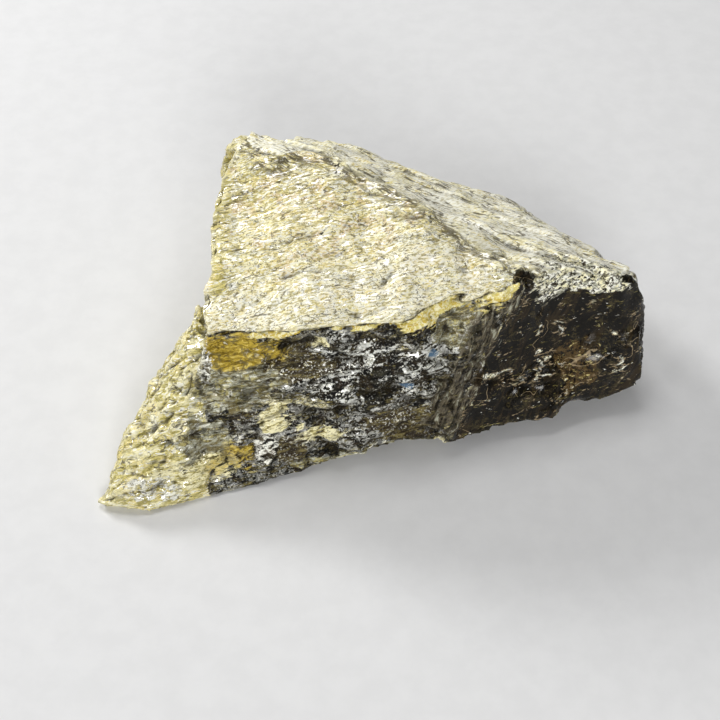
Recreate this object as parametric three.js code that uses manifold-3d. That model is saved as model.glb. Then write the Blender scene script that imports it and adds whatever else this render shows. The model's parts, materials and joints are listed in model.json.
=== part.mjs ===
// A rough hand piece of labradorite: one broken stone, resting on its flat underside.
// Millimetres, +Z up, +X along the length of the front, -Y towards the front.

import * as THREE from "three";
import { ConvexGeometry } from "three/addons/geometries/ConvexGeometry.js";
import { ImprovedNoise } from "three/addons/math/ImprovedNoise.js";
import { TessellateModifier } from "three/addons/modifiers/TessellateModifier.js";
import { mergeVertices } from "three/addons/utils/BufferGeometryUtils.js";
import Module from "manifold-3d";

// Driving dimensions: the box the finished stone fills.
const LENGTH = 80;
const DEPTH = 66;
const HEIGHT = 33.5;

// Grain of the broken surface.
const FACET_EDGE = 4;
const COARSE_PERIOD = 9;
const COARSE_RELIEF = 0.55;
const FINE_PERIOD = 3.2;
const FINE_RELIEF = 0.28;
// The relief fades out towards the resting plane, so that the underside stays flat.
const FADE_START = 0.3;
const FADE_END = 3;

const WELD = 1e-4;
const TESSELLATE_PASSES = 12;

const STONE_COLOUR = 0x8f8358;
const STONE_ROUGHNESS = 0.55;

// The crown: the upper block, with the broad sloping top face, the ridge behind it and the front face.
const CROWN = {
  frontTopEdge: [
    [-21.6, 2.4, 22],
    [-17.9, 2.2, 22.8],
    [-10.4, 2.9, 23.3],
    [-3, 2.4, 24],
    [4.1, 2.9, 24.8],
    [10.5, 6.3, 25.8],
    [19.5, 11, 26.6],
  ],
  leftTopEdge: [
    [-22.4, 9, 25],
    [-21.5, 18, 28.6],
    [-19.8, 29, 31.2],
    [-17.4, 34, 31.6],
  ],
  ridge: [
    [-12.7, 33.4, 31.8],
    [-3.3, 27, 31.6],
    [7, 20.4, 30],
    [15.6, 13.4, 27.6],
  ],
  frontLowEdge: [
    [-22.6, 0.6, 13],
    [-22.4, 1.2, 5],
    [-8, 0.2, 9],
    [-1, -1.2, 2.2],
    [9.6, 0.6, 2],
  ],
  backLowEdge: [
    [-22.4, 20, 2],
    [-20, 38, 2],
    [-6, 40, 12],
    [9, 30, 14],
    [18, 20, 14],
  ],
};

// The step under the front face, standing a little proud of it.
const FRONT_STEP = [
  [-23.6, -0.8, 13.8],
  [-12.4, -0.6, 12.4],
  [-5, -0.4, 10],
  [-24.6, -7.4, 1.2],
  [-20.4, -7.2, 0],
  [-10, -3.4, 0.8],
  [0, -1.2, 1.6],
  [-8, 8, 0],
  [-24, 8, 0],
  [-22, 6, 12],
  [-8, 8, 9],
];

// The end block on the right, with its smooth dark cleavage face.
const END_BLOCK = [
  [19.5, 11, 26.6],
  [27.2, 11.6, 25.4],
  [31, 11.6, 24.4],
  [36.4, 13.8, 23.6],
  [38.2, 14.2, 21],
  [33.4, 18.6, 22],
  [37.4, 18.4, 20.6],
  [39.8, 13.9, 14],
  [40, 9.8, 5],
  [38.4, 8.7, 3],
  [35.6, 7.5, 2.8],
  [20.4, 3, 2.6],
  [10.4, 0.2, 1.8],
  [12, 6, 25],
  [36.6, 24, 3],
  [34.6, 27, 13],
  [18, 24, 20],
];

// The low shelf that slopes away behind the ridge down to the back rim.
const BACK_SHELF = [
  [-15, 36, 25],
  [-6, 33, 23.4],
  [8, 22.5, 24],
  [17, 16, 25],
  [33.5, 19, 21.4],
  [36.8, 21, 14],
  [37.2, 21, 4],
  [-11, 51.8, 18],
  [-3.6, 53.8, 14],
  [10, 50.6, 8.8],
  [17, 49.6, 7.6],
  [25, 45.2, 8],
  [30, 37.2, 10.4],
  [33.4, 28, 15.4],
  [-14, 50, 3],
  [10, 50.4, 2.6],
  [17.6, 49.4, 2.4],
  [26.6, 44.6, 2.8],
  [34.6, 30, 3],
];

// The rounded shoulder behind the highest corner.
const SHOULDER = [
  [-21.2, 35.4, 27],
  [-21.6, 37.4, 25.4],
  [-20, 40.4, 26.2],
  [-16.2, 43, 24],
  [-10, 47.4, 19.6],
  [-12, 34, 29.4],
  [-18, 32, 30.4],
  [-22, 33, 8],
  [-21, 41, 3],
  [-12, 50, 3],
];

// The thin wedge that runs out to the left tip.
const WEDGE = [
  [-23.6, 10.6, 20],
  [-24.6, 10.4, 18],
  [-28.3, 8.2, 12.2],
  [-32.1, 3.2, 8.2],
  [-35.1, -3.8, 4.8],
  [-37.8, -8.6, 2.2],
  [-38, -9.4, 0.8],
  [-37, -10.4, 1.8],
  [-32, -9.4, 4.2],
  [-26.8, -6.8, 6.4],
  [-24.9, -3.8, 8.2],
  [-23.6, -1.4, 11.6],
  [-23.4, 0.8, 15],
  [-30.4, -10.7, 0.8],
  [-20.9, -7.4, 0.4],
  [-20, 2, 0],
  [-20, 16, 12],
  [-22, 19, 4],
  [-30.6, 6.4, 0],
  [-24, 15, 0],
];

// The flat underside, set in from the outline so that the rim overhangs at the front, right and back.
const UNDERSIDE = [
  [-37.4, -9.2],
  [-30.4, -10.2],
  [-20.6, -6.8],
  [-8, -0.8],
  [6, 3.6],
  [20, 9],
  [33, 13],
  [35, 22],
  [30, 34],
  [20, 44],
  [4, 47.6],
  [-12, 47],
  [-20, 39],
  [-22, 18],
  [-29.6, 6],
];
const FOOT_THICKNESS = 2.4;
const FOOT_TAPER = 0.9;

// The raised rib that crosses the front from the notch down to the left.
const RIB = [
  [20.4, 10.2, 26],
  [17.2, 8.6, 25.6],
  [14.6, 4.6, 16],
  [16.6, 5.6, 16],
  [11, -0.2, 3.6],
  [9.4, 0, 3.4],
  [12.4, 0.6, 3.2],
  [15, 10, 14],
];

// The small dark notch where the top face, the rib and the end block meet.
const NOTCH = [
  [19.8, 8, 27.4],
  [22.6, 8, 27.4],
  [21.2, 14.4, 27.8],
  [20.4, 7, 21.6],
  [22.2, 7, 21.8],
];

// The shallow hollow of the dark face: a cap of one large ball standing in front of it.
const HOLLOW = {
  faceCentre: [30.4, 8.6, 12.4],
  facing: [0.16, -0.94, 0.3],
  radius: 42,
  depth: 1.3,
};

// The chips broken from the foot of the end block and from the left edge of the wedge.
const CHIPS = [
  { centre: [40.2, 5.6, 2], radius: 3.6 },
  { centre: [31, 2.2, 1.4], radius: 5.4 },
  { centre: [-33.4, 5.2, 9.8], radius: 2 },
  { centre: [-23.8, 35.2, 29], radius: 2.4 },
];
const CHIP_DETAIL = 2;
const HOLLOW_DETAIL = 20;

const wasm = await Module();
wasm.setup();

function solidFrom(geometry) {
  const bare = new THREE.BufferGeometry();
  bare.setAttribute("position", geometry.getAttribute("position"));
  bare.setIndex(geometry.getIndex());
  const welded = mergeVertices(bare, WELD);
  return new wasm.Manifold(
    new wasm.Mesh({
      numProp: 3,
      vertProperties: welded.getAttribute("position").array,
      triVerts: new Uint32Array(welded.getIndex().array),
    }),
  );
}

function geometryFrom(solid) {
  const mesh = solid.getMesh();
  const geometry = new THREE.BufferGeometry();
  geometry.setAttribute("position", new THREE.BufferAttribute(mesh.vertProperties, 3));
  geometry.setIndex(new THREE.BufferAttribute(mesh.triVerts, 1));
  return geometry;
}

function block(corners) {
  return solidFrom(new ConvexGeometry(corners.map((corner) => new THREE.Vector3(...corner))));
}

function ball(radius, centre, detail) {
  return solidFrom(new THREE.IcosahedronGeometry(radius, detail).translate(...centre));
}

// The foot under the whole stone, narrowing upwards so that it stays inside the other blocks.
function foot() {
  return UNDERSIDE.flatMap(([x, y]) => [
    [x, y, 0],
    [x * FOOT_TAPER, y * FOOT_TAPER, FOOT_THICKNESS],
  ]);
}

function hollow() {
  const { faceCentre, facing, radius, depth } = HOLLOW;
  const outwards = new THREE.Vector3(...facing).normalize();
  const centre = new THREE.Vector3(...faceCentre).addScaledVector(outwards, radius - depth);
  return ball(radius, centre.toArray(), HOLLOW_DETAIL);
}

// Relief of the broken surface at a place: a push along each axis from two sizes of grain.
const noise = new ImprovedNoise();
function relief(place, period) {
  const [x, y, z] = place.toArray().map((v) => v / period);
  return new THREE.Vector3(
    noise.noise(x, y, z),
    noise.noise(x + 31.7, y + 11.3, z + 5.9),
    noise.noise(x + 71.1, y + 47.9, z + 23.3),
  );
}

function roughen(geometry) {
  const position = geometry.getAttribute("position");
  const place = new THREE.Vector3();
  for (let i = 0; i < position.count; i += 1) {
    place.fromBufferAttribute(position, i);
    const fade = THREE.MathUtils.smoothstep(place.z, FADE_START, FADE_END);
    const push = relief(place, COARSE_PERIOD).multiplyScalar(COARSE_RELIEF * 2);
    push.addScaledVector(relief(place, FINE_PERIOD), FINE_RELIEF * 2);
    place.addScaledVector(push, fade);
    position.setXYZ(i, place.x, place.y, place.z);
  }
}

// Stretches the stone to the driving dimensions and stands it on z = 0, centred in plan.
function fitToSize(geometry) {
  geometry.computeBoundingBox();
  const { min, max } = geometry.boundingBox;
  geometry.translate(-(min.x + max.x) / 2, -(min.y + max.y) / 2, -min.z);
  geometry.scale(LENGTH / (max.x - min.x), DEPTH / (max.y - min.y), HEIGHT / (max.z - min.z));
}

function buildStone() {
  let stone = block(Object.values(CROWN).flat());
  for (const corners of [FRONT_STEP, END_BLOCK, BACK_SHELF, SHOULDER, WEDGE, RIB, foot()]) {
    stone = stone.add(block(corners));
  }
  stone = stone.subtract(hollow()).subtract(block(NOTCH));
  for (const { centre, radius } of CHIPS) {
    stone = stone.subtract(ball(radius, centre, CHIP_DETAIL));
  }
  return stone;
}

let surface = geometryFrom(buildStone()).toNonIndexed();
surface = new TessellateModifier(FACET_EDGE, TESSELLATE_PASSES).modify(surface);
surface = mergeVertices(surface, WELD);
roughen(surface);
fitToSize(surface);
surface.computeVertexNormals();

const stone = new THREE.Mesh(
  surface,
  new THREE.MeshStandardMaterial({
    color: STONE_COLOUR,
    roughness: STONE_ROUGHNESS,
    metalness: 0,
  }),
);
stone.name = "labradorite_chunk";

const labradorite = new THREE.Group();
labradorite.name = "rough_labradorite";
labradorite.add(stone);

export default labradorite;
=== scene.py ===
"""Looks of a rough labradorite hand piece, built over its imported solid."""

import json
import math

import bpy
import numpy as np
from bpy.props import FloatProperty, FloatVectorProperty, PointerProperty
from bpy.types import Operator, Panel, PropertyGroup
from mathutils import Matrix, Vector

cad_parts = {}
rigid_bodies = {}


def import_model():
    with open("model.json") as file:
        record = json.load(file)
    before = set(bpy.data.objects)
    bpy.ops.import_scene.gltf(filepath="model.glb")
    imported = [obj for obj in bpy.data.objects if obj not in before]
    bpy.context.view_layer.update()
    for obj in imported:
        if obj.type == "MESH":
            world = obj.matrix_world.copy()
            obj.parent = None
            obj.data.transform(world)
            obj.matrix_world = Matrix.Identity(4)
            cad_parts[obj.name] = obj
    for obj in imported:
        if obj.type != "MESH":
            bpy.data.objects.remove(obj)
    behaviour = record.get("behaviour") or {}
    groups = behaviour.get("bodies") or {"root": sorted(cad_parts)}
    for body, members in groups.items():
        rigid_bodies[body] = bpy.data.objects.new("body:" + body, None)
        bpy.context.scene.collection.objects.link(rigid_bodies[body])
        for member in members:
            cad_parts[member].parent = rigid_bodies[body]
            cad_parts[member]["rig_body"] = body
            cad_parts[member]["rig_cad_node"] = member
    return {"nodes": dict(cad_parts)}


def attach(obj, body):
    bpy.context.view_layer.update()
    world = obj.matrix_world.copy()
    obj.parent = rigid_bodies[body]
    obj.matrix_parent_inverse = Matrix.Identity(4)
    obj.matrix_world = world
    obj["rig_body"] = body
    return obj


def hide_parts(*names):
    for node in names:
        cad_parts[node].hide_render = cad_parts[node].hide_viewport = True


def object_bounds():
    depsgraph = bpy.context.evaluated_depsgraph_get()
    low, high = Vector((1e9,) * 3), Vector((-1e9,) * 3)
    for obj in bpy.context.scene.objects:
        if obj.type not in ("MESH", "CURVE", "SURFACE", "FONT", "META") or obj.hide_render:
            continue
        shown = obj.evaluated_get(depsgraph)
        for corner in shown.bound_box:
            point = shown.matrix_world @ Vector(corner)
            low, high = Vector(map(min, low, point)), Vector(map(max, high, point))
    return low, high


bl_info = {
    "name": "Rough Labradorite",
    "version": (1, 0, 0),
    "blender": (4, 5, 0),
    "location": "View3D > Sidebar > Labradorite",
    "description": "A rough broken labradorite stone with its cleaved, flaky and glassy faces",
    "category": "Object",
}

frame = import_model()
CAD_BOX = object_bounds()

NODE = "labradorite_chunk"
STONE = "labradorite_stone"
MM = 0.001

# Directions of the stone's own grain, in the part's frame.
FRONT_GRAIN = (0.97, 0.2, 0.12)  # the streaks of the top run along its front edge
RIDGE_LINE = (0.86, -0.5, -0.1)  # the crest behind the top face
FIBRES = (0.97, 0.22, 0.08)  # the fibres of the front and the wedge lie nearly level
BOX_LOW, BOX_HIGH = (np.array(corner) / MM for corner in CAD_BOX)


def place(along, back, up):
    """A place (mm) by shares of the stone's box: along its length, back from its front, up from the floor."""
    return BOX_LOW + (BOX_HIGH - BOX_LOW) * (along, back, up)


BLOCK_LEFT = place(0.2, 0.0, 0.0)[0]  # where the upper block ends and the wedge begins
RIB_TOP = place(0.75, 0.3, 0.78)
RIB_FOOT = place(0.63, 0.17, 0.07)
NOTCH = place(0.75, 0.32, 0.77)

# Heights (mm) between which a face comes in or, from high to low, dies out.
UPPER_FACES = (17.0, 19.0)
WEDGE_TOP = (21.5, 19.5)
SHELF_FOOT = (6.0, 9.0)
RIB_START = (3.0, 6.0)
END_TOP = (22.5, 20.0)
FRONT_LOWEST = 10.0  # the top's front edge is above this height
NEAR = 1.5  # how far from a place (mm) the surface is searched for its foremost point


# ---------------------------------------------------------------- numeric helpers


def unit(v):
    """Unit vector along v."""
    v = np.asarray(v, float)
    return v / np.linalg.norm(v)


def axes_along(direction, up=(0.0, 0.0, 1.0)):
    """Three perpendicular unit axes: along direction, across it, and out of both."""
    a = unit(direction)
    b = unit(np.cross(up, a))
    return np.array([a, b, np.cross(a, b)])


def smooth_step(low, high, x):
    """0 below low, 1 above high, with a soft change between."""
    t = np.clip((x - low) / (high - low), 0.0, 1.0)
    return t * t * (3.0 - 2.0 * t)


def lattice_hash(cell, salt):
    """A repeatable number from 0 to 1 for each whole-number cell."""
    c = cell.astype(np.int64)
    h = c[..., 0] * 374761393 + c[..., 1] * 668265263 + c[..., 2] * 1274126177 + salt * 2246822519
    h &= 0xFFFFFFFF
    h = ((h ^ (h >> 13)) * 1274126177) & 0xFFFFFFFF
    h = ((h ^ (h >> 16)) * 2654435761) & 0xFFFFFFFF
    return ((h ^ (h >> 15)) & 0xFFFFFF) / float(0xFFFFFF)


def soft_noise(p, salt=0):
    """Smooth value noise from -1 to 1 with a period of one unit."""
    base = np.floor(p)
    f = p - base
    f = f * f * f * (f * (f * 6.0 - 15.0) + 10.0)
    total = np.zeros(len(p))
    for dx in (0, 1):
        wx = f[:, 0] if dx else 1.0 - f[:, 0]
        for dy in (0, 1):
            wy = f[:, 1] if dy else 1.0 - f[:, 1]
            for dz in (0, 1):
                wz = f[:, 2] if dz else 1.0 - f[:, 2]
                total += wx * wy * wz * lattice_hash(base + (dx, dy, dz), salt)
    return total * 2.0 - 1.0


def rough_noise(p, octaves, salt=0):
    """Several sizes of soft noise added together, from about -1 to 1."""
    total = np.zeros(len(p))
    weight, reach = 1.0, 0.0
    for i in range(octaves):
        total += weight * soft_noise(p * 2.03**i + 17.3 * i, salt + i)
        reach += weight
        weight *= 0.5
    return total / reach * 1.5


def plates(p, salt=0, reach=0.8, lean=0.9, drop=1.0, bottom=-9.0):
    """Overlapping flat flakes about one unit across: the uppermost's height, and its own tone from 0 to 1.

    The gaps between flakes go no deeper than bottom.
    """
    base = np.floor(p)
    top = np.full(len(p), bottom)
    tone = np.full(len(p), 0.5)
    for dx in (-1, 0, 1):
        for dy in (-1, 0, 1):
            for dz in (-1, 0, 1):
                cell = base + (dx, dy, dz)
                seed = cell + 0.1 + 0.8 * np.stack([lattice_hash(cell, salt + k) for k in (11, 12, 13)], 1)
                facing = np.stack([lattice_hash(cell, salt + k) for k in (15, 16, 17)], 1) - 0.5
                own = lattice_hash(cell, salt + 14)
                d = p - seed
                far = np.sqrt((d * d).sum(1)) / reach
                height = own + lean * (d * facing).sum(1) - drop * far**4
                above = height > top
                top = np.where(above, height, top)
                tone = np.where(above, lattice_hash(cell, salt + 18), tone)
    return top - 0.6, tone


def terraces(x, sharpness=0.25):
    """Turns an even slope into steps one unit long, with risers that take up a share of each step."""
    base = np.floor(x)
    return base + smooth_step(1.0 - sharpness, 1.0, x - base)


def along(p, axes, sizes):
    """Places measured along the given axes, in units of sizes."""
    return (p @ np.asarray(axes).T) / np.asarray(sizes, float)


def patch(p, centre, radii, axes=None, edge=0.35, warp=0.25, salt=0):
    """A soft blot: 1 inside an ellipsoid, 0 outside, with a ragged rim."""
    d = p - np.asarray(centre, float)
    if axes is not None:
        d = d @ np.asarray(axes).T
    r = np.sqrt(((d / np.asarray(radii, float)) ** 2).sum(1))
    r = r + warp * rough_noise(p / 2.6, 3, salt)
    return 1.0 - smooth_step(1.0 - edge, 1.0 + edge, r)


def on_front(p, along, up):
    """The foremost point (mm) of the surface at shares of the length and the height."""
    spot = place(along, 0.0, up)
    near = p[(np.abs(p[:, 0] - spot[0]) < NEAR) & (np.abs(p[:, 2] - spot[2]) < NEAR)]
    return np.array((spot[0], near[:, 1].min(), spot[2]))


def profile(p, chosen, pick, slice_width=3.0):
    """One value picked from the chosen points in each slice along the length, for np.interp."""
    slices = np.floor(p[:, 0] / slice_width)
    found = np.unique(slices[chosen])
    values = [pick(p[chosen & (slices == one)]) for one in found]
    return (found + 0.5) * slice_width, values


# ---------------------------------------------------------------- the stone's zones


MASKS = (
    "cream", "pale", "olive", "face", "glass", "amber", "brown", "moss", "creamy",
    "silver", "crust", "golden", "blue", "flaky", "rib", "rim", "ridge", "bleached", "mellow",
    "hollow_shade", "crest",
    "tone", "fine_tone",
)


def find_zones(p, n):
    """How much each point belongs to each face of the stone, from its place (mm) and its facing."""
    wander = rough_noise(p / 4.0, 3, 3)
    rib_a, rib_b = np.array(RIB_TOP), np.array(RIB_FOOT)
    t = np.clip((p[:, 2] - rib_b[2]) / (rib_a[2] - rib_b[2]), 0.0, 1.1)
    rib_x = rib_b[0] + (rib_a[0] - rib_b[0]) * t
    past_rib = p[:, 0] - rib_x

    up = smooth_step(0.45, 0.7, n[:, 2])
    front = smooth_step(0.35, 0.6, -n[:, 1]) * (1.0 - up)
    crown = (p[:, 0] > BLOCK_LEFT) & (p[:, 0] < RIB_TOP[0])
    crest = profile(p, crown & (n[:, 2] > 0.3), lambda part: part[part[:, 2].argmax(), 1])
    ridge_y = np.interp(p[:, 0], *crest)
    forward = crown & (n[:, 1] < -0.6) & (p[:, 2] > FRONT_LOWEST)
    front_top = profile(p, forward, lambda part: np.percentile(part[:, 2], 97))
    behind = smooth_step(-0.6, 0.6, p[:, 1] - ridge_y)
    wedge_edge = BLOCK_LEFT + 0.4 * wander
    wedge = smooth_step(0.5, -0.5, p[:, 0] - wedge_edge) * smooth_step(*WEDGE_TOP, p[:, 2])
    wedge *= smooth_step(0.0, -4.0, p[:, 1])
    high = smooth_step(*UPPER_FACES, p[:, 2])

    zones = {}
    zones["top"] = up * (1.0 - behind) * high * (1.0 - wedge)
    sloping = smooth_step(0.25, 0.5, n[:, 2]) * behind
    zones["shelf"] = sloping * (1.0 - wedge) * smooth_step(*SHELF_FOOT, p[:, 2])
    zones["face"] = front * (1.0 - wedge) * smooth_step(0.6, -0.6, past_rib + 0.8 * wander)
    zones["glassy"] = front * (1.0 - wedge) * smooth_step(-0.6, 0.6, past_rib + 0.8 * wander)
    zones["rib"] = front * np.exp(-(((past_rib + 2.4) / 3.1) ** 2)) * smooth_step(*RIB_START, p[:, 2])
    zones["wedge"] = wedge
    rest = zones["top"] + zones["shelf"] + zones["face"] + zones["glassy"] + zones["wedge"]
    zones["flank"] = np.clip(1.0 - rest, 0.0, 1.0)
    zones["past_rib"] = past_rib
    zones["ridge_y"] = ridge_y
    zones["front_top"] = np.interp(p[:, 0], *front_top)
    return zones


def warped(p, size, amount, salt=0):
    """Places pushed about by soft noise, so that patterns on them lose their straight rows."""
    q = p / size
    push = np.stack([soft_noise(q + 5.1 * i, salt + i) for i in range(3)], 1)
    return p + amount * push


def relief_of_zones(p, zones):
    """The height (mm) that the broken surface stands out or in at each point."""
    grain = axes_along(FRONT_GRAIN)
    crest = axes_along(RIDGE_LINE)
    level = axes_along(FIBRES)
    loose = warped(warped(p, 7.0, 1.3, 20), 2.2, 0.28, 24)

    # Top: low swells, and thin ragged scales along the grain.
    large, tone_top = plates(along(loose, grain, (6.5, 2.0, 3.2)), 40, bottom=0.3)
    small, fine_top = plates(along(loose, grain, (2.8, 0.9, 1.4)), 45, bottom=0.3)
    top = 0.22 * rough_noise(along(loose, grain, (10.0, 3.4, 5.0)), 3, 30) + 0.36 * large + 0.24 * small
    top += 0.09 * rough_noise(along(loose, grain, (2.2, 0.6, 1.0)), 2, 48)
    top += 0.34 * rough_noise(along(loose, grain, (9.0, 1.5, 3.0)), 3, 38) * smooth_step(12.0, -4.0, p[:, 1])

    # Shelf: terraces that follow the crest, broken by cross cracks.
    d = (p @ crest[1]) + 1.4 * rough_noise(along(p, crest, (12.0, 5.0, 6.0)), 3, 50)
    step = 4.6
    large, tone_shelf = plates(along(loose, crest, (5.0, 2.2, 3.2)), 52, bottom=0.2)
    small, fine_shelf = plates(along(loose, crest, (2.6, 1.0, 1.3)), 53, bottom=0.2)
    shelf = 0.8 * (terraces(d / step, 0.25) - d / step) + 0.32 * large + 0.15 * small

    # Front face: ragged ledges and flakes, some standing out, some broken back.
    large, tone_face = plates(along(loose, level, (6.0, 4.0, 3.2)), 60)
    middle, fine_face = plates(along(loose, level, (2.4, 1.8, 1.2)), 64)
    small, _ = plates(along(loose, level, (1.1, 0.9, 0.6)), 68)
    face = 0.85 * large + 0.46 * middle + 0.20 * small

    # Glassy face: nearly smooth, with a faint swell and a few shallow cleavage steps.
    large, tone_glass = plates(loose / (8.0, 6.0, 9.0), 70)
    small, fine_glass = plates(loose / (2.6, 2.0, 3.6), 73)
    glassy = 0.3 * large + 0.10 * small + 0.14 * rough_noise(p / 5.0, 2, 71)

    # Wedge: level splinters, broken off one behind the other like ragged stairs.
    large, tone_wedge = plates(along(loose, level, (7.0, 2.6, 2.6)), 80)
    small, fine_wedge = plates(along(loose, level, (3.0, 1.0, 1.0)), 84)
    slope = along(loose, level, (1e3, 4.2, 1e3))[:, 1] + 0.3 * rough_noise(p / 5.0, 2, 87)
    steps = terraces(slope, 0.3) - slope
    wedge = 0.6 * large + 0.32 * small - 0.7 * (steps + 0.5)
    wedge += 0.12 * rough_noise(along(loose, level, (2.0, 0.6, 0.6)), 2, 86)

    # Flanks, back and underside: blocky breaks.
    large, tone_flank = plates(loose / (6.0, 6.0, 4.4), 90)
    small, fine_flank = plates(loose / (2.3, 2.3, 1.6), 94)
    flank = 0.75 * large + 0.3 * small + 0.08 * rough_noise(p / 1.2, 2, 96)

    reliefs = {"top": top, "shelf": shelf, "face": face, "glassy": glassy, "wedge": wedge, "flank": flank}
    broad = {"top": tone_top, "shelf": tone_shelf, "face": tone_face}
    broad.update({"glassy": tone_glass, "wedge": tone_wedge, "flank": tone_flank})
    fine = {"top": fine_top, "shelf": fine_shelf, "face": fine_face}
    fine.update({"glassy": fine_glass, "wedge": fine_wedge, "flank": fine_flank})
    out = sum(zones[name] * reliefs[name] for name in reliefs) + 0.5 * zones["rib"]
    out *= 1.0 - 0.8 * patch(p, NOTCH, (3.0, 2.4, 3.4), warp=0.0)
    tones = {
        "tone": sum(zones[name] * broad[name] for name in broad),
        "fine_tone": sum(zones[name] * fine[name] for name in fine),
    }
    return out, tones


def colour_masks(p, zones):
    """Named shares of colour and finish at each point, from 0 to 1."""
    grain = axes_along(FRONT_GRAIN)
    m = {}
    m["cream"] = zones["top"]
    m["pale"] = zones["shelf"]
    m["olive"] = np.clip(
        zones["wedge"]
        + patch(p, place(0.225, 0.5, 0.85), (1.6, 18, 8), salt=101) * 0.8
        + patch(p, place(0.25, 0.75, 0.8), (4, 4, 5), salt=102) * 0.7,
        0,
        1,
    )
    not_top = 1.0 - zones["top"]
    m["face"] = np.clip(zones["face"], 0, 1)
    reach = 4.0 * rough_noise(p / 5.0, 3, 128)
    rock_end = smooth_step(-0.8, 0.8, zones["past_rib"]) * smooth_step(1.0, -5.0, p[:, 1] + reach)
    rock_end *= smooth_step(*END_TOP, p[:, 2]) * not_top
    m["glass"] = np.maximum(zones["glassy"], rock_end)
    m["glass"] = np.maximum(m["glass"], patch(p, NOTCH, (1.7, 2.0, 2.2), warp=0.4, salt=129))
    depth = zones["front_top"] - p[:, 2]
    # The gold rim is thin, deeper over the amber on the left and deepest towards the notch.
    over_amber = smooth_step(-11.0, -15.0, p[:, 0])
    by_notch = smooth_step(2.0, 7.0, p[:, 0])
    deep = 1.3 + 1.3 * over_amber + 3.5 * by_notch
    m["rim"] = smooth_step(1.0, 0.15, depth / deep) * zones["face"] * (1.0 - zones["top"])
    behind_edge = p[:, 1] + 20.5 - 0.24 * (p[:, 0] + 24.0)  # mm behind the slanting front edge of the top
    m["bleached"] = smooth_step(9.0, 2.0, behind_edge) * zones["top"]
    m["mellow"] = np.maximum(
        patch(p, place(0.3, 0.6, 0.95), (4.0, 6.5, 5), edge=0.6, warp=0.5, salt=123),
        patch(p, place(0.225, 0.4, 0.85), (1.8, 15, 8), edge=0.6, warp=0.5, salt=124),
    )
    by_ridge = np.exp(-(((p[:, 1] - zones["ridge_y"] + 1.4) / 2.4) ** 2))
    m["ridge"] = by_ridge * smooth_step(*UPPER_FACES, p[:, 2])

    amber = patch(p, on_front(p, 0.25, 0.6), (6.4, 3, 2.9), grain, warp=0.45, salt=103)
    low_amber = patch(p, on_front(p, 0.25, 0.15), (3.8, 4, 1.9), grain, warp=0.6, salt=104)
    amber = np.maximum(amber, 0.5 * low_amber)
    m["amber"] = amber * not_top
    brown = patch(p, on_front(p, 0.35, 0.55), (5.6, 3, 3.2), warp=0.35, salt=105)
    brown = np.maximum(brown, patch(p, on_front(p, 0.35, 0.15), (2.2, 3, 2.4), warp=0.4, salt=126))
    brown = np.maximum(brown, 0.85 * patch(p, on_front(p, 0.55, 0.2), (5.4, 3, 3.8), warp=0.5, salt=127))
    m["brown"] = brown * not_top
    moss = patch(p, on_front(p, 0.25, 0.45), (6.4, 4, 3.6), grain, warp=0.3, salt=113)
    moss = np.maximum(moss, patch(p, on_front(p, 0.2, 0.25), (5.0, 5, 3.6), warp=0.35, salt=114))
    moss = np.maximum(moss, 0.9 * patch(p, on_front(p, 0.65, 0.65), (4.2, 3, 4.0), warp=0.35, salt=115))
    moss = np.maximum(moss, 0.65 * patch(p, on_front(p, 0.5, 0.05), (14.0, 4, 1.0), warp=0.5, salt=120))
    m["moss"] = moss * not_top
    creamy = patch(p, on_front(p, 0.325, 0.3), (2.4, 2.4, 2.2), warp=0.8, salt=116)
    cream_band = patch(p, on_front(p, 0.4, 0.2), (3.8, 2.5, 1.5), grain, warp=0.4, salt=117)
    creamy = np.maximum(creamy, 0.8 * cream_band)
    creamy = np.maximum(creamy, 0.9 * patch(p, on_front(p, 0.4, 0.65), (1.6, 1.6, 1.0), warp=0.3, salt=118))
    creamy = np.maximum(creamy, 0.7 * patch(p, on_front(p, 0.2, 0.15), (6.0, 4, 2.2), warp=0.5, salt=119))
    m["creamy"] = creamy
    silver = patch(p, on_front(p, 0.3, 0.2), (1.7, 3, 2.5), warp=0.4, salt=107)
    silver = np.maximum(silver, 0.6 * patch(p, on_front(p, 0.1, 0.1), (3.0, 3, 1.6), warp=0.7, salt=125))
    m["silver"] = np.maximum(silver, 0.8 * patch(p, on_front(p, 0.2, 0.55), (1.1, 1.8, 4.5), salt=109))
    crust = patch(p, place(0.875, 0.35, 0.75), (11.0, 5.0, 3.6), edge=0.5, warp=0.3, salt=108)
    m["crust"] = crust * below_top(p)
    m["golden"] = 0.68 * patch(p, on_front(p, 0.875, 0.3), (3.4, 4, 3.6), warp=0.6, salt=110)
    m["blue"] = np.maximum(
        patch(p, on_front(p, 0.55, 0.4), (1.4, 3, 0.6), warp=0.3, salt=111),
        patch(p, on_front(p, 0.6, 0.55), (1.1, 3, 1.0), warp=0.3, salt=112),
    )
    m["flaky"] = np.clip(
        patch(p, on_front(p, 0.5, 0.5), (11.5, 4, 5.6), warp=0.45, salt=121)
        + 0.4 * patch(p, on_front(p, 0.5, 0.2), (10, 4, 3.0), warp=0.5, salt=122),
        0,
        1,
    )
    m["rib"] = np.clip(zones["rib"], 0, 1)
    return m


def below_top(p):
    """1 on the end block's own rim, 0 left of it."""
    return smooth_step(20.0, 23.0, p[:, 0])


# ---------------------------------------------------------------- materials


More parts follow.
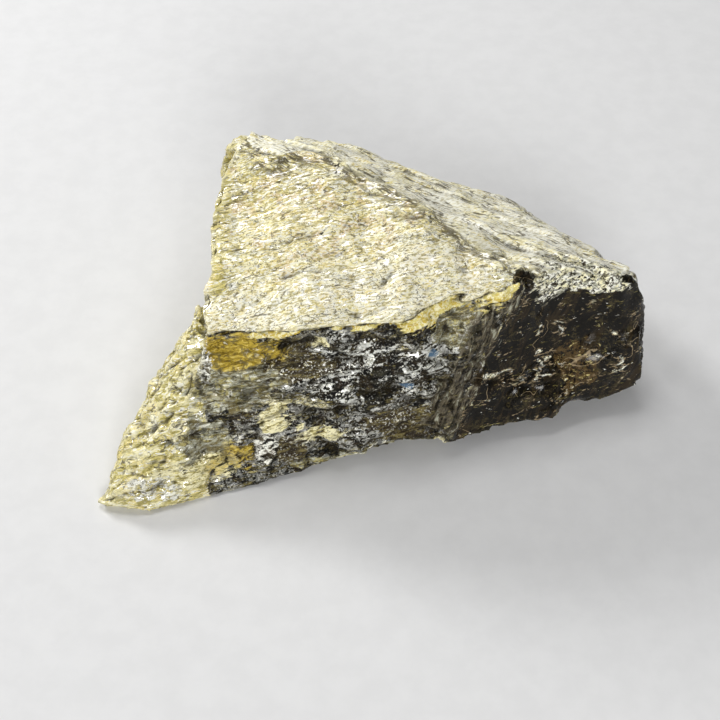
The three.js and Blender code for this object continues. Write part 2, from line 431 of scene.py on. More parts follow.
class Nodes:
    """Short calls that add and join shader nodes."""

    def __init__(self, material):
        material.use_nodes = True
        self.tree = material.node_tree
        self.tree.nodes.clear()
        self.column = 0

    def add(self, kind, inputs=None, **settings):
        node = self.tree.nodes.new(kind)
        node.location = (self.column * 40 - 2000, (self.column % 9) * -160)
        self.column += 1
        for key, value in settings.items():
            setattr(node, key, value)
        for key, value in (inputs or {}).items():
            self.plug(node.inputs[key], value)
        return node

    def plug(self, socket, value):
        if isinstance(value, bpy.types.NodeSocket):
            self.tree.links.new(value, socket)
        else:
            socket.default_value = value

    def math(self, operation, a, b=0.0, clamp=False):
        node = self.add("ShaderNodeMath", operation=operation, use_clamp=clamp)
        self.plug(node.inputs[0], a)
        self.plug(node.inputs[1], b)
        return node.outputs[0]

    def both(self, a, b):
        return self.math("MULTIPLY", a, b)

    def mix(self, share, a, b, blend="MIX"):
        node = self.add("ShaderNodeMix", data_type="RGBA", blend_type=blend, clamp_factor=True)
        self.plug(node.inputs["Factor"], share)
        for socket, value in ((node.inputs[6], a), (node.inputs[7], b)):
            if not isinstance(value, bpy.types.NodeSocket):
                value = (*value, 1.0)
            self.plug(socket, value)
        return node.outputs[2]

    def mix_value(self, share, a, b):
        node = self.add("ShaderNodeMix", data_type="FLOAT", clamp_factor=True)
        self.plug(node.inputs["Factor"], share)
        self.plug(node.inputs[2], a)
        self.plug(node.inputs[3], b)
        return node.outputs[0]

    def ramp(self, value, low, high, out_low=0.0, out_high=1.0):
        node = self.add(
            "ShaderNodeMapRange",
            {"From Min": low, "From Max": high, "To Min": out_low, "To Max": out_high},
            interpolation_type="SMOOTHSTEP",
        )
        self.plug(node.inputs["Value"], value)
        return node.outputs["Result"]

    def mask(self, name):
        return self.add("ShaderNodeAttribute", attribute_type="GEOMETRY", attribute_name=name).outputs["Fac"]

    def turned(self, coordinates, axes, sizes):
        """Coordinates along the given axes, in units of sizes (mm)."""
        rows = []
        for axis, size in zip(axes, sizes):
            scaled = tuple(float(a) / (size * MM) for a in axis)
            node = self.add("ShaderNodeVectorMath", {0: coordinates, 1: scaled}, operation="DOT_PRODUCT")
            rows.append(node.outputs["Value"])
        return self.add("ShaderNodeCombineXYZ", {0: rows[0], 1: rows[1], 2: rows[2]}).outputs[0]

    def noise(self, coordinates, scale=1.0, detail=3.0, roughness=0.6, distortion=0.0):
        node = self.add(
            "ShaderNodeTexNoise",
            {
                "Vector": coordinates,
                "Scale": scale,
                "Detail": detail,
                "Roughness": roughness,
                "Distortion": distortion,
            },
        )
        return node.outputs["Fac"]

    def cells(self, coordinates, scale=1.0, randomness=1.0, feature="F1"):
        return self.add(
            "ShaderNodeTexVoronoi",
            {"Vector": coordinates, "Scale": scale, "Randomness": randomness},
            feature=feature,
        )


class Grain:
    """Patterns shared by the stone's colours, each about one feature per millimetre at scale 1."""

    def __init__(self, k):
        self.k = k
        place = k.add("ShaderNodeTexCoord").outputs["Object"]
        self.streaks = k.turned(place, axes_along(FRONT_GRAIN), (4.5, 1.0, 1.2))
        self.sheets = k.turned(place, axes_along(FIBRES), (3.6, 0.9, 0.9))
        self.crest = k.turned(place, axes_along(RIDGE_LINE), (5.0, 0.8, 0.8))
        self.flakes = k.turned(place, axes_along(FIBRES), (1.7, 1.3, 0.9))
        rib_axes = axes_along(RIB_TOP - RIB_FOOT, (1.0, 0.0, 0.0))
        self.rib = k.turned(place, rib_axes, (4.0, 0.8, 0.8))
        self.even = k.turned(place, np.eye(3), (1.0, 1.0, 1.0))
        self.blotch = k.noise(self.even, 0.2, 3.0, 0.6, 0.5)
        self.cloud = k.noise(self.even, 0.34, 4.0, 0.65, 0.6)
        self.mottle = k.noise(self.even, 0.7, 4.0, 0.7, 0.4)
        self.grit = k.noise(self.even, 2.0, 3.0, 0.7, 0.5)
        self.sand = k.noise(k.turned(place, axes_along(FRONT_GRAIN), (2.6, 0.85, 1.0)), 3.4, 2.0, 0.55, 0.3)
        self.streak = k.noise(k.turned(place, axes_along(FRONT_GRAIN), (3.4, 0.9, 1.0)), 1.1, 3.0, 0.6, 0.5)
        self.crest_streak = k.noise(self.crest, 0.9, 4.0, 0.65, 0.4)
        self.ledge = k.noise(self.sheets, 0.9, 4.0, 0.65, 0.5)
        self.fibre = k.noise(self.sheets, 1.8, 4.0, 0.7, 0.7)
        self.cluster = k.noise(self.flakes, 0.5, 3.0, 0.55, 0.8)
        self.chip = k.noise(self.flakes, 1.7, 3.0, 0.65, 0.4)
        self.spark = k.noise(self.even, 3.3, 1.0, 0.5)

    def torn(self, share, noise=None, amount=1.8, edge=0.12):
        """A zone's share with a ragged, crisp border."""
        k = self.k
        ragged = k.math("MULTIPLY", k.math("SUBTRACT", noise or self.mottle, 0.5), amount)
        return k.ramp(k.math("ADD", share, ragged), 0.5 - edge, 0.5 + edge)

    def lines(self, coordinates, scale, width, detail=2.0):
        """Thin wandering lines: where a noise crosses its middle value."""
        k = self.k
        away = k.math("ABSOLUTE", k.math("SUBTRACT", k.noise(coordinates, scale, detail, 0.6, 0.4), 0.5))
        return k.ramp(away, width, width * 0.3)


def fine_worms(k, g, colour, look, dark=0.8, light=0.85):
    """The top's finest texture: painted shade in short gaps and painted highlights on pale ridges, following
    the fine bump.
    """
    colour = k.mix(k.ramp(g.sand, 0.49, 0.37, 0.0, dark), colour, look.pit_shade_brown)
    return k.mix(k.ramp(g.sand, 0.50, 0.60, 0.0, light), colour, look.chalk_and_glint)


def top_colours(k, g, share, look):
    """Cream and pale gold, with tan hints and thin dark lines along the grain."""
    colour = k.mix(k.ramp(g.streak, 0.55, 0.40), look.cream, look.gold)
    colour = k.mix(k.ramp(g.blotch, 0.5, 0.62, 0.0, 0.5), colour, look.straw)
    colour = k.mix(k.both(g.torn(share["mellow"], g.mottle, 2.4, 0.25), 0.75), colour, look.straw)
    colour = k.mix(k.both(k.both(share["mellow"], k.ramp(g.fibre, 0.52, 0.42)), 0.8), colour, look.olive)
    rusty = k.both(k.ramp(g.cloud, 0.52, 0.60), k.mix_value(share["bleached"], 1.0, 0.3))
    colour = k.mix(k.both(rusty, k.ramp(g.grit, 0.38, 0.54, 0.3, 0.9)), colour, look.tan)
    colour = k.mix(k.both(share["bleached"], k.ramp(g.mottle, 0.40, 0.54, 0.0, 0.6)), colour, look.ash)
    greyer = k.both(k.ramp(g.cloud, 0.45, 0.37), k.ramp(g.grit, 0.60, 0.44, 0.0, 0.7))
    colour = k.mix(greyer, colour, look.grey_green)
    colour = fine_worms(k, g, colour, look)
    long_lines = k.both(g.lines(g.streaks, 0.8, 0.022), k.ramp(g.mottle, 0.47, 0.55))
    colour = k.mix(k.both(long_lines, 0.8), colour, look.shadow_brown)
    crest_lines = k.both(g.lines(g.crest, 0.75, 0.09), k.both(share["ridge"], k.ramp(g.cloud, 0.34, 0.44)))
    colour = k.mix(k.both(crest_lines, 0.95), colour, look.shadow_brown)
    short_lines = k.both(g.lines(g.even, 1.2, 0.028), k.ramp(g.grit, 0.45, 0.54, 0.0, 0.9))
    return k.mix(short_lines, colour, look.shadow_brown)


def shelf_colours(k, g, share, look):
    """Paler and greyer than the top, with gold along its breaks."""
    colour = k.mix(k.ramp(g.crest_streak, 0.38, 0.48, 0.65, 1.0), look.grey_green, look.ash)
    colour = k.mix(k.ramp(share["tone"], 0.3, 0.8, 0.0, 0.8), colour, look.cream)
    golden = k.both(k.ramp(g.crest_streak, 0.54, 0.62), k.ramp(g.grit, 0.40, 0.52, 0.2, 0.9))
    colour = k.mix(golden, colour, look.gold)
    colour = fine_worms(k, g, colour, look, 0.6, 1.0)
    lines = k.both(g.lines(g.crest, 0.7, 0.04), k.ramp(g.cloud, 0.44, 0.52))
    return k.mix(k.both(lines, 0.85), colour, look.shadow_brown)


def wedge_colours(k, g, share, look):
    """Olive and straw in thin level fibres, with pale broken edges and painted white glints."""
    colour = k.mix(k.ramp(g.fibre, 0.40, 0.56), look.olive, look.straw)
    pale = k.both(k.ramp(share["fine_tone"], 0.3, 0.8), k.ramp(g.ledge, 0.42, 0.54, 0.0, 0.9))
    colour = k.mix(pale, colour, look.cream)
    colour = k.mix(k.both(k.ramp(g.cloud, 0.50, 0.58), k.ramp(g.fibre, 0.42, 0.55)), colour, look.gold)
    # Painted white glints along the fibres.
    colour = k.mix(k.ramp(g.fibre, 0.55, 0.59), colour, look.chalk_and_glint)
    lines = k.both(g.lines(g.sheets, 0.8, 0.035), k.ramp(g.mottle, 0.44, 0.52))
    return k.mix(k.both(lines, 0.85), colour, look.shadow_brown)


def front_colours(k, g, share, flake, glint, look):
    """Smoky near-black with clusters of silvery flakes and painted white glints."""
    colour = k.mix(k.ramp(g.ledge, 0.46, 0.62), look.smoke, look.slate)
    colour = k.mix(k.both(k.ramp(g.cloud, 0.46, 0.56), k.ramp(g.grit, 0.40, 0.56)), colour, look.umber)
    low = k.math("SUBTRACT", 1.0, share["flaky"])
    colour = k.mix(k.both(low, k.both(k.ramp(g.fibre, 0.50, 0.62), 0.6)), colour, look.moss)
    colour = k.mix(flake, colour, k.mix(k.ramp(g.grit, 0.36, 0.48), look.grey_green, look.flake))
    # Painted white glints.
    return k.mix(glint, colour, look.chalk_and_glint)


def glass_colours(k, g, share, look):
    """Very dark brown with smoky streaks, a golden glow with painted golden glints, and a few hair cracks."""
    smoky = k.noise(g.rib, 0.45, 4.0, 0.65, 0.9)
    colour = k.mix(k.ramp(smoky, 0.48, 0.64), look.jet, look.umber)
    colour = k.mix(k.both(k.ramp(g.cloud, 0.52, 0.62), k.ramp(g.grit, 0.44, 0.58)), colour, look.moss_dark)
    glow = g.torn(share["golden"])
    colour = k.mix(k.both(glow, k.ramp(g.grit, 0.38, 0.60)), colour, look.cognac)
    # Painted golden glints in the glow.
    chips = k.both(k.both(glow, k.ramp(g.chip, 0.56, 0.62)), k.ramp(g.sand, 0.48, 0.56, 0.0, 0.7))
    colour = k.mix(chips, colour, look.gold)
    specks = k.both(k.ramp(g.cluster, 0.54, 0.62), k.ramp(g.sand, 0.52, 0.60, 0.0, 0.35))
    colour = k.mix(specks, colour, look.tan)
    cracks = k.both(g.lines(g.even, 0.085, 0.0035, 3.0), k.ramp(g.mottle, 0.42, 0.5))
    return k.mix(k.both(cracks, 0.35), colour, look.tan)


def flank_colours(k, g, share, look):
    """The sides that face away: olive, grey and smoky by turns."""
    colour = k.mix(k.ramp(g.fibre, 0.40, 0.56), look.moss, look.straw)
    colour = k.mix(k.ramp(g.blotch, 0.45, 0.54, 0.0, 0.95), colour, look.slate)
    pale = k.both(k.ramp(share["fine_tone"], 0.4, 0.8), k.ramp(g.grit, 0.44, 0.56))
    colour = k.mix(pale, colour, look.cream)
    colour = fine_worms(k, g, colour, look, 0.5, 0.45)
    lines = k.both(g.lines(g.sheets, 0.9, 0.04), k.ramp(g.mottle, 0.44, 0.54))
    return k.mix(lines, colour, look.shadow_brown)


def accents(k, g, share, glint, colour, look):
    """Patches of amber, moss, cream, silver and crust laid over the faces."""
    # Brown patches with painted white glints.
    brown = k.mix(k.ramp(g.fibre, 0.45, 0.6), look.umber, look.moss)
    colour = k.mix(g.torn(share["brown"]), colour, k.mix(glint, brown, look.chalk_and_glint))

    moss = k.mix(k.ramp(g.fibre, 0.42, 0.58), look.moss, look.grey_green)
    moss = k.mix(k.both(k.ramp(g.cloud, 0.48, 0.56), k.ramp(g.grit, 0.46, 0.56, 0.0, 0.45)), moss, look.straw)
    moss = k.mix(k.ramp(g.fibre, 0.60, 0.64), moss, look.flake)
    moss = k.mix(k.ramp(g.mottle, 0.46, 0.38, 0.0, 0.65), moss, look.umber)
    moss = k.mix(k.both(g.lines(g.sheets, 0.8, 0.035), 0.55), moss, look.slate)
    colour = k.mix(g.torn(share["moss"]), colour, moss)

    streaky = k.noise(g.rib, 1.0, 4.0, 0.65, 0.4)
    rib = k.mix(k.ramp(streaky, 0.42, 0.56), look.jet, look.bark)
    rib = k.mix(k.ramp(streaky, 0.56, 0.66), rib, look.grey_green)
    colour = k.mix(k.both(g.torn(share["rib"], streaky), 0.9), colour, rib)

    creamy = k.mix(k.ramp(g.fibre, 0.38, 0.52), look.moss, look.straw)
    creamy = k.mix(k.ramp(g.fibre, 0.44, 0.54), creamy, look.cream)
    creamy = k.mix(k.ramp(g.sand, 0.47, 0.38, 0.0, 0.7), creamy, look.moss)
    colour = k.mix(g.torn(share["creamy"], g.fibre, 2.2), colour, creamy)

    amber = k.mix(k.ramp(g.fibre, 0.38, 0.60), look.resin, look.honey)
    amber = k.mix(k.ramp(g.fibre, 0.57, 0.66, 0.0, 0.8), amber, look.straw)
    amber = k.mix(k.ramp(g.mottle, 0.50, 0.40, 0.0, 0.8), amber, look.moss)
    colour = k.mix(g.torn(share["amber"], g.fibre, 2.2, 0.3), colour, amber)
    golden = k.mix(k.ramp(g.fibre, 0.42, 0.54), look.honey, look.straw)
    golden = k.mix(k.ramp(g.grit, 0.48, 0.58), golden, look.cream)
    colour = k.mix(g.torn(k.both(share["rim"], 0.85), g.ledge, 2.4), colour, golden)

    silver = k.mix(k.ramp(g.mottle, 0.44, 0.56), look.slate, look.bark)
    bright = k.both(k.ramp(g.chip, 0.44, 0.54), k.ramp(g.grit, 0.38, 0.50, 0.3, 1.0))
    silver = k.mix(bright, silver, look.chalk_and_glint)
    colour = k.mix(g.torn(share["silver"], g.chip, 2.4), colour, silver)

    crust = k.mix(k.ramp(g.grit, 0.42, 0.56), look.umber, look.grey_green)
    pale = k.mix(k.ramp(g.mottle, 0.42, 0.56), look.cream, look.chalk_and_glint)
    crust = k.mix(k.both(k.ramp(g.chip, 0.43, 0.50), k.ramp(g.grit, 0.42, 0.50)), crust, pale)
    return k.mix(g.torn(share["crust"], g.cluster, 2.8), colour, crust)


def stone_material(look):
    """The whole stone's material: colour, gloss and grain from the zone shares on the mesh."""
    material = bpy.data.materials.new("rough_labradorite")
    k = Nodes(material)
    g = Grain(k)
    share = {name: k.mask(name) for name in MASKS}

    spread = k.mix_value(share["flaky"], 0.18, 1.0)
    cluster = k.both(k.ramp(g.cluster, 0.46, 0.54), spread)
    flake = k.both(cluster, k.ramp(g.chip, 0.47, 0.53))
    # Painted glints: sparse white specks, painted into the colour on the front and the brown patches, and
    # made metallic.
    glint = k.both(k.ramp(g.cluster, 0.40, 0.54, 0.12, 1.0), k.ramp(g.spark, 0.58, 0.65))
    glint = k.both(glint, k.mix_value(share["flaky"], 0.35, 1.0))

    colour = k.mix(g.torn(share["cream"]), flank_colours(k, g, share, look), top_colours(k, g, share, look))
    colour = k.mix(g.torn(share["pale"]), colour, shelf_colours(k, g, share, look))
    colour = k.mix(g.torn(share["face"]), colour, front_colours(k, g, share, flake, glint, look))
    colour = k.mix(g.torn(share["glass"]), colour, glass_colours(k, g, share, look))
    colour = k.mix(g.torn(share["olive"], g.fibre), colour, wedge_colours(k, g, share, look))
    colour = accents(k, g, share, glint, colour, look)
    flash = k.mix(k.ramp(g.chip, 0.52, 0.62), look.flash, look.flake)
    colour = k.mix(k.both(g.torn(share["blue"], g.grit, 1.2), 0.75), colour, flash)
    # Painted shade in the hollows of the relief, weaker on the amber.
    crack_shade_strength = k.mix_value(share["amber"], 0.75, 0.2)
    colour = k.mix(k.both(share["hollow_shade"], crack_shade_strength), colour, look.shade_in_cracks)
    # Painted highlight along the crests of the relief, faint on the front and glassy faces.
    crest_highlight = k.mix_value(k.math("MAXIMUM", share["glass"], share["face"]), 0.45, 0.03)
    colour = k.mix(k.both(share["crest"], crest_highlight), colour, look.cream)

    # Gloss: mirror-like scales among duller grain, silvery on the front.
    scale = k.cells(g.flakes, 1.9)
    shiny = k.ramp(k.add("ShaderNodeSeparateColor", {"Color": scale.outputs["Color"]}).outputs[0], 0.5, 0.6)
    mirror = k.both(shiny, k.ramp(g.chip, 0.44, 0.54))
    polished = k.math("MAXIMUM", mirror, k.ramp(g.sand, 0.5, 0.6, 0.0, 0.7))
    rough = k.mix_value(polished, k.ramp(g.grit, 0.3, 0.7, 0.62, 0.40), 0.22)
    rough = k.mix_value(share["glass"], rough, k.ramp(g.mottle, 0.4, 0.7, 0.12, 0.34))
    rough = k.mix_value(k.both(share["amber"], 0.8), rough, 0.18)
    silvery = k.both(k.math("MAXIMUM", share["face"], share["silver"]), k.math("MAXIMUM", flake, glint))

    # Grain: fine streaks and pits, and gently leaning scales.
    height = k.math("ADD", k.both(g.sand, 0.35), k.both(g.grit, 0.6))
    fibrous = k.both(g.fibre, k.both(share["olive"], 1.8))
    height = k.math("ADD", height, k.math("ADD", k.both(g.chip, 0.5), fibrous))
    strength = k.mix_value(share["glass"], 1.0, 0.3)
    bump = k.add("ShaderNodeBump", {"Strength": strength, "Distance": look.grain_depth, "Height": height})
    middle = (0.5, 0.5, 0.5)
    tilt = k.add("ShaderNodeVectorMath", {0: scale.outputs["Color"], 1: middle}, operation="SUBTRACT")
    lean = k.mix_value(share["pale"], look.scale_tilt, 0.14)
    lean = k.mix_value(share["glass"], lean, 0.08)
    tilt = k.add("ShaderNodeVectorMath", {0: tilt.outputs[0], "Scale": lean}, operation="SCALE")
    normal = k.add("ShaderNodeVectorMath", {0: bump.outputs[0], 1: tilt.outputs[0]}, operation="ADD")
    normal = k.add("ShaderNodeVectorMath", {0: normal.outputs[0]}, operation="NORMALIZE").outputs[0]

    shader = k.add("ShaderNodeBsdfPrincipled", {"Base Color": colour, "Roughness": rough, "Normal": normal})
    k.plug(shader.inputs["Metallic"], k.both(silvery, 0.45))
    k.plug(shader.inputs["IOR"], 1.5)
    k.plug(shader.inputs["Specular IOR Level"], 0.12)
    k.plug(shader.inputs["Coat Roughness"], 0.08)
    k.plug(shader.inputs["Coat IOR"], 1.7)
    wet = k.math("MAXIMUM", k.both(mirror, 0.7), k.ramp(g.sand, 0.50, 0.58))
    wet = k.mix_value(share["pale"], wet, k.both(wet, 0.3))
    wet = k.mix_value(share["face"], wet, flake)
    k.plug(shader.inputs["Coat Weight"], k.mix_value(share["glass"], wet, 0.12))
    k.add("ShaderNodeOutputMaterial", {"Surface": shader.outputs[0]})
    return material


def floor_material(look):
    """A plain pale matt floor."""
    material = bpy.data.materials.new("studio_floor")
    k = Nodes(material)
    place = k.add("ShaderNodeTexCoord").outputs["Object"]
    shade = k.ramp(k.noise(place, 240.0, 3.0, 0.6), 0.3, 0.7, 0.96, 1.0)
    grey = k.add("ShaderNodeCombineColor", {0: shade, 1: shade, 2: shade}).outputs[0]
    colour = k.mix(1.0, look.floor_colour, grey, "MULTIPLY")
    shader = k.add("ShaderNodeBsdfPrincipled", {"Base Color": colour, "Roughness": 0.85})
    k.add("ShaderNodeOutputMaterial", {"Surface": shader.outputs[0]})
    return material


# ---------------------------------------------------------------- properties


def colour_property(name, description, default):
    return FloatVectorProperty(
        name=name, description=description, subtype="COLOR", size=3, min=0.0, max=1.0, default=default
    )


class StoneSettings(PropertyGroup):
    """Sizes and colours of the stone."""

    voxel: FloatProperty(
        name="Mesh size",
        description="Size of the stone's mesh faces",
        default=0.00045,
        min=0.0002,
        unit="LENGTH",
    )
    relief: FloatProperty(
        name="Relief",
        description="How strongly the broken surface stands out",
        default=1.0,
        min=0.0,
        max=2.0,
        subtype="FACTOR",
    )
    edge_wear: FloatProperty(
        name="Edge wear",
        description="How far chips eat into the sharp edges",
        default=0.0015,
        min=0.0,
        unit="LENGTH",
    )
    grain_depth: FloatProperty(
        name="Grain depth", description="Depth of the finest grain", default=0.00022, min=0.0, unit="LENGTH"
    )
    scale_tilt: FloatProperty(
        name="Scale tilt",
        description="How far the small shiny scales lean",
        default=0.30,
        min=0.0,
        max=1.0,
        subtype="FACTOR",
    )
    crease_angle: FloatProperty(
        name="Crease angle",
        description="Edges sharper than this stay sharp",
        default=math.radians(38),
        subtype="ANGLE",
    )
    cream: colour_property("Cream", "Main colour of the top", (0.96, 0.90, 0.58))
    gold: colour_property("Pale gold", "Yellower grain of the top", (0.80, 0.67, 0.27))
    tan: colour_property("Tan", "Rusty hints", (0.76, 0.58, 0.34))
    # Whitest scales, also used for painted white glints and highlights.
    chalk_and_glint: colour_property("Chalk", "Whitest scales", (0.97, 0.96, 0.85))
    ash: colour_property("Ash", "Pale grey of the back shelf", (0.96, 0.94, 0.81))
    # Painted shade in the fine gaps of the top.
    pit_shade_brown: colour_property("Line brown", "Fine gaps of the top", (0.38, 0.32, 0.14))
    shadow_brown: colour_property("Shadow brown", "Thin dark lines", (0.10, 0.085, 0.05))
    grey_green: colour_property("Grey green", "Greyer grain", (0.42, 0.42, 0.32))
    olive: colour_property("Olive", "Darker grain of the wedge", (0.33, 0.28, 0.075))
    straw: colour_property("Straw", "Paler grain of the wedge", (0.78, 0.68, 0.24))
    smoke: colour_property("Smoke", "Near-black of the front", (0.0018, 0.0018, 0.0016))
    slate: colour_property("Slate", "Dark grey of the front", (0.011, 0.0105, 0.008))
    moss: colour_property("Moss", "Olive brown of the front", (0.16, 0.13, 0.05))
    bark: colour_property("Bark", "Grey brown of the rib", (0.13, 0.108, 0.07))
    moss_dark: colour_property("Dark moss", "Olive black of the glassy face", (0.05, 0.04, 0.018))
    flake: colour_property("Flake", "Silvery flakes", (0.88, 0.89, 0.83))
    jet: colour_property("Jet", "Darkest part of the glassy face", (0.005, 0.004, 0.0025))
    umber: colour_property("Umber", "Brown of the glassy face", (0.028, 0.019, 0.009))
    cognac: colour_property("Cognac", "Glow inside the glassy face", (0.10, 0.062, 0.022))
    resin: colour_property("Resin", "Darker amber", (0.17, 0.115, 0.012))
    honey: colour_property("Honey", "Brighter amber", (0.64, 0.46, 0.06))
    flash: colour_property("Blue flash", "The stone's blue sheen", (0.10, 0.19, 0.30))
    # Painted shade in the deepest cracks of the relief.
    shade_in_cracks: colour_property("Soil", "Dirt in the deepest cracks", (0.02, 0.016, 0.009))


class StageSettings(PropertyGroup):
    """Floor, lights and camera."""

    floor_size: FloatProperty(
        name="Floor size", description="Width of the floor", default=6.0, min=0.5, unit="LENGTH"
    )
    floor_colour: colour_property("Floor colour", "Plain pale floor", (0.70, 0.70, 0.70))
    camera_lens: FloatProperty(name="Lens", description="Focal length", default=69.6, min=10.0, unit="CAMERA")
    camera_tilt: FloatProperty(
        name="Camera tilt",
        description="How steeply the camera looks down",
        default=math.radians(48),
        subtype="ANGLE",
    )
    camera_x: FloatProperty(name="Camera X", description="Camera place", default=-0.0023, unit="LENGTH")
    camera_y: FloatProperty(name="Camera Y", description="Camera place", default=-0.1493, unit="LENGTH")
    camera_z: FloatProperty(name="Camera Z", description="Camera place", default=0.1621, unit="LENGTH")
    sky: FloatProperty(name="Sky", description="Strength of the even light", default=0.12, min=0.0)


# ---------------------------------------------------------------- operators


def only(obj):
    """Selects one object and nothing else."""
    for other in bpy.context.view_layer.objects:
        other.select_set(False)
    obj.select_set(True)
    bpy.context.view_layer.objects.active = obj


def apply_modifier(obj, kind, name, **settings):
    """Adds a modifier with these settings and applies it."""
    only(obj)
    modifier = obj.modifiers.new(name, kind)
    for key, value in settings.items():
        setattr(modifier, key, value)
    bpy.ops.object.modifier_apply(modifier=modifier.name)


def keep_main_body(obj):
    """Deletes the loose crumbs that the remesh leaves in narrow gaps."""
    only(obj)
    bpy.ops.object.mode_set(mode="EDIT")
    bpy.ops.mesh.select_mode(type="VERT")
    bpy.ops.mesh.select_all(action="DESELECT")
    bpy.ops.object.mode_set(mode="OBJECT")
    max(obj.data.vertices, key=lambda vertex: vertex.co.z).select = True
    bpy.ops.object.mode_set(mode="EDIT")
    bpy.ops.mesh.select_linked()
    bpy.ops.mesh.select_all(action="INVERT")
    bpy.ops.mesh.delete(type="VERT")
    bpy.ops.object.mode_set(mode="OBJECT")


def read_vectors(collection, name, count):
    out = np.zeros(count * 3, np.float32)
    collection.foreach_get(name, out)
    return out.reshape(-1, 3).astype(float)


def smooth_over_mesh(values, edges, rounds):
    """Averages each vertex's value with its neighbours'."""
    a, b = edges[:, 0], edges[:, 1]
    shape = values.shape
    flat = values.reshape(shape[0], -1)
    count = np.bincount(np.concatenate([a, b]), minlength=shape[0]).clip(1)[:, None]
    def gathered(to, column):
        return np.bincount(to, column, minlength=shape[0])

    for _ in range(rounds):
        columns = range(flat.shape[1])
        total = np.stack([gathered(a, flat[b, c]) + gathered(b, flat[a, c]) for c in columns], 1)
        flat = 0.5 * flat + 0.5 * total / count
    return flat.reshape(shape)


class STONE_OT_body(Operator):
    """Make the stone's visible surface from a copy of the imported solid"""

    bl_idname = "labradorite.stone_body"
    bl_label = "Stone"

    def execute(self, context):
        look = context.scene.labradorite_stone
        source = frame["nodes"][NODE]
        stone = source.copy()
        stone.data = source.data.copy()
        stone.name = STONE
        stone.data.name = STONE
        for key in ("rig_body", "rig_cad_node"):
            if key in stone:
                del stone[key]
        stone.parent = None
        context.scene.collection.objects.link(stone)
        only(stone)
        bpy.ops.object.mode_set(mode="EDIT")
        bpy.ops.mesh.select_all(action="SELECT")
        bpy.ops.mesh.remove_doubles(threshold=1e-6)
        bpy.ops.object.mode_set(mode="OBJECT")
        apply_modifier(stone, "REMESH", "even_mesh", mode="VOXEL", voxel_size=look.voxel)
        keep_main_body(stone)
        mesh = stone.data
        count = len(mesh.vertices)
        p = read_vectors(mesh.vertices, "co", count) / MM
        n = read_vectors(mesh.vertices, "normal", count)
        edges = np.zeros(len(mesh.edges) * 2, np.int32)
        mesh.edges.foreach_get("vertices", edges)
        edges = edges.reshape(-1, 2)

        broad = smooth_over_mesh(n, edges, 6)
        broad /= np.linalg.norm(broad, axis=1)[:, None].clip(1e-6)
        zones = find_zones(p, broad)
        push, tones = relief_of_zones(p, zones)
        rounded = smooth_over_mesh(p, edges, 24)
        edge = smooth_step(0.10, 0.34, ((p - rounded) * broad).sum(1))
        chipped = smooth_step(-0.3, 0.8, rough_noise(warped(p, 3.0, 1.0, 7) / 3.6, 4, 8))
        push -= edge * look.edge_wear / MM * chipped
        push *= look.relief
        resting = smooth_step(0.4, 2.6, p[:, 2])
        moved = p + broad * (push * resting)[:, None]
        calm = smooth_over_mesh(moved, edges, 3)
        spike = ((moved - calm) * broad).sum(1)
        moved += broad * (np.clip(spike, -0.22, 0.16) - spike)[:, None]

        low, high = (np.array(v) / MM for v in CAD_BOX)
        moved = np.clip(moved, low - (0.3, 0.3, 0.0), high + (0.3, 0.3, 0.3))
        mesh.vertices.foreach_set("co", (moved * MM).astype(np.float32).ravel())
        mesh.update()

        # Hollows and crests of the relief, for painted shade in the cracks and painted highlights on the
        # edges.
        even = smooth_over_mesh(moved, edges, 8)
        stand = ((moved - even) * broad).sum(1)
        masks = colour_masks(moved, zones)
        masks.update(tones)
        masks["hollow_shade"] = smooth_step(0.09, 0.24, -stand)
        masks["crest"] = smooth_step(0.09, 0.28, stand)
        for name, values in masks.items():
            attribute = mesh.attributes.new(name, "FLOAT", "POINT")
            attribute.data.foreach_set("value", np.clip(values, 0, 1).astype(np.float32))

        mesh.materials.clear()
        mesh.materials.append(stone_material(look))
        only(stone)
        bpy.ops.object.shade_smooth_by_angle(angle=look.crease_angle)
        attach(stone, "root")
        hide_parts(NODE)
        return {"FINISHED"}


LIGHT_TARGET = (0.0, 0.0, 0.015)  # the middle of the stone
LIGHTS = {  # the place (m), the size (m) and the power (W) of each soft light
    "overhead": ((-0.1, 0.16, 0.66), (0.26, 0.22), 1.7),
    "side_light": ((-0.45, 0.35, 0.32), (0.18, 0.18), 3.0),
    "left_fill": ((-0.6, -0.3, 0.4), (0.4, 0.4), 0.8),
    "front_fill": ((0.05, -0.75, 0.36), (0.3, 0.22), 4.0),
}


def area_light(name, spot, target, size, power):
    """A soft rectangular light facing a target."""
    data = bpy.data.lights.new(name, "AREA")
    data.shape = "RECTANGLE"
    data.size, data.size_y = size
    data.energy = power
    light = bpy.data.objects.new(name, data)
    light.visible_camera = False
    light.location = spot
    light.rotation_euler = (Vector(target) - Vector(spot)).to_track_quat("-Z", "Y").to_euler()
    bpy.context.scene.collection.objects.link(light)
    return light


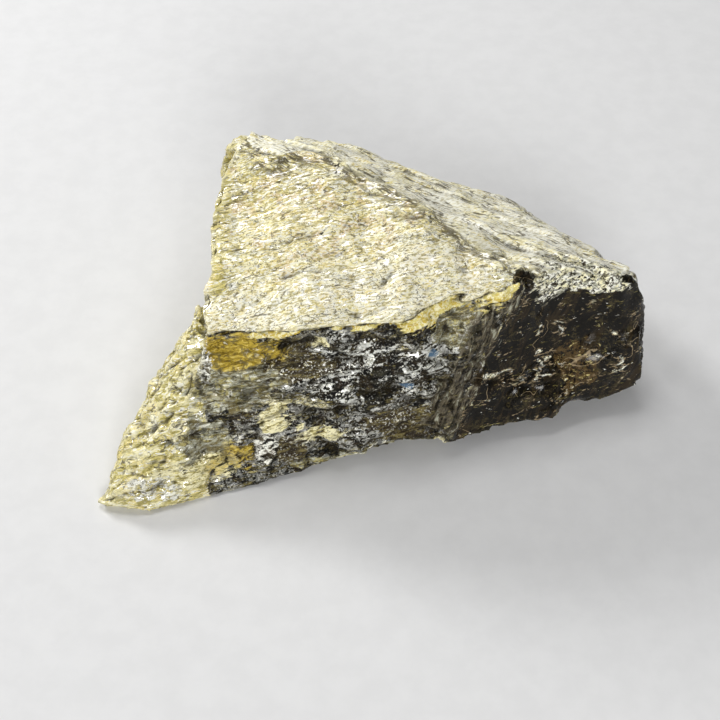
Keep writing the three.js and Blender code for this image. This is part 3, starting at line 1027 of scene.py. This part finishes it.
class STONE_OT_stage(Operator):
    """Set the floor, the soft lights and the camera"""

    bl_idname = "labradorite.stage"
    bl_label = "Stage"

    def execute(self, context):
        stage = context.scene.labradorite_stage
        for other in context.view_layer.objects:
            other.select_set(False)
        bpy.ops.mesh.primitive_grid_add(x_subdivisions=8, y_subdivisions=8, size=stage.floor_size)
        floor = context.active_object
        floor.name = "studio_floor"
        floor.data.materials.append(floor_material(stage))

        for name, (spot, size, power) in LIGHTS.items():
            area_light(name, spot, LIGHT_TARGET, size, power)

        world = bpy.data.worlds.new("studio_sky")
        context.scene.world = world
        world.use_nodes = True
        background = world.node_tree.nodes["Background"]
        background.inputs["Color"].default_value = (1.0, 1.0, 1.0, 1.0)
        background.inputs["Strength"].default_value = stage.sky

        data = bpy.data.cameras.new("camera")
        data.lens = stage.camera_lens
        data.sensor_width = 36.0
        data.clip_start = 0.005
        camera = bpy.data.objects.new("camera", data)
        camera.location = (stage.camera_x, stage.camera_y, stage.camera_z)
        camera.rotation_euler = (math.radians(90) - stage.camera_tilt, 0.0, 0.0)
        context.scene.collection.objects.link(camera)
        context.scene.camera = camera
        context.scene.view_settings.view_transform = "Standard"
        return {"FINISHED"}


class STONE_PT_panel(Panel):
    """Sidebar panel with the stone's settings"""

    bl_label = "Labradorite"
    bl_idname = "STONE_PT_panel"
    bl_space_type = "VIEW_3D"
    bl_region_type = "UI"
    bl_category = "Labradorite"

    def draw(self, context):
        layout = self.layout
        for settings, operator in (
            (context.scene.labradorite_stone, STONE_OT_body),
            (context.scene.labradorite_stage, STONE_OT_stage),
        ):
            box = layout.box()
            for name in settings.__annotations__:
                box.prop(settings, name)
            box.operator(operator.bl_idname)


CLASSES = (StoneSettings, StageSettings, STONE_OT_body, STONE_OT_stage, STONE_PT_panel)


def register():
    for cls in CLASSES:
        bpy.utils.register_class(cls)
    bpy.types.Scene.labradorite_stone = PointerProperty(type=StoneSettings)
    bpy.types.Scene.labradorite_stage = PointerProperty(type=StageSettings)


def unregister():
    del bpy.types.Scene.labradorite_stage
    del bpy.types.Scene.labradorite_stone
    for cls in reversed(CLASSES):
        bpy.utils.unregister_class(cls)


def main():
    register()
    bpy.ops.labradorite.stone_body()
    bpy.ops.labradorite.stage()


if __name__ == "__main__":
    main()
